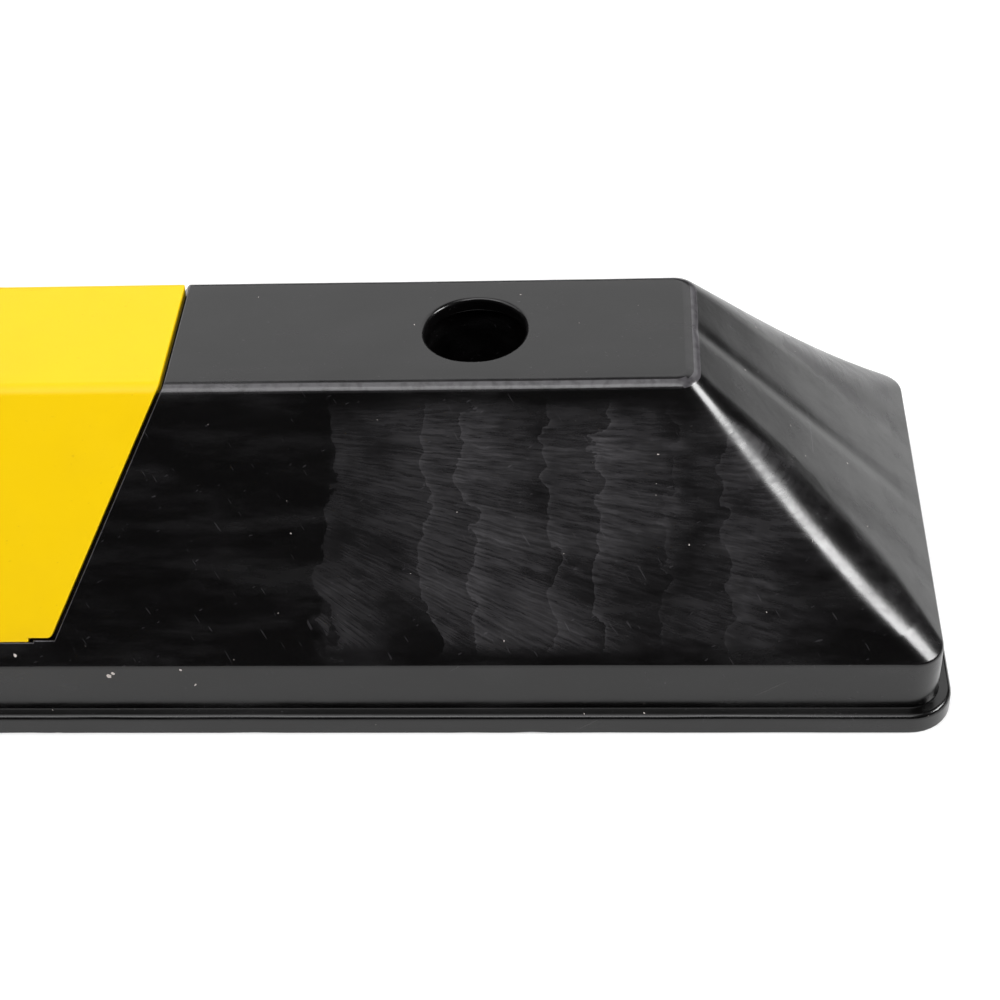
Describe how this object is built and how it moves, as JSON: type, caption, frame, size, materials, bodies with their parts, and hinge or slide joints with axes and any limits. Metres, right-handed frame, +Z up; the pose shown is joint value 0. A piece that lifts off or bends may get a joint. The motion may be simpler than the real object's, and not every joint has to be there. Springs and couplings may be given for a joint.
{
  "type": "parking wheel stop",
  "caption": "Low hollow plastic bar with sloping sides and snap-in yellow marker panels, anchored across the head of a parking bay to stop a car's wheels.",
  "frame": {"origin": "centre of the underside, on the ground", "axes": "+X along the stop's length, +Y across it, +Z up"},
  "size_m": [1.65, 0.15, 0.1],
  "materials": {
    "black_body": "semi-gloss moulded, lightly scuffed",
    "yellow_panel": "satin moulded"
  },
  "bodies": {
    "root": {"stop_body": "black_body", "marker_panel_left": "yellow_panel", "marker_panel_centre": "yellow_panel", "marker_panel_right": "yellow_panel"}
  },
  "joints": []
}
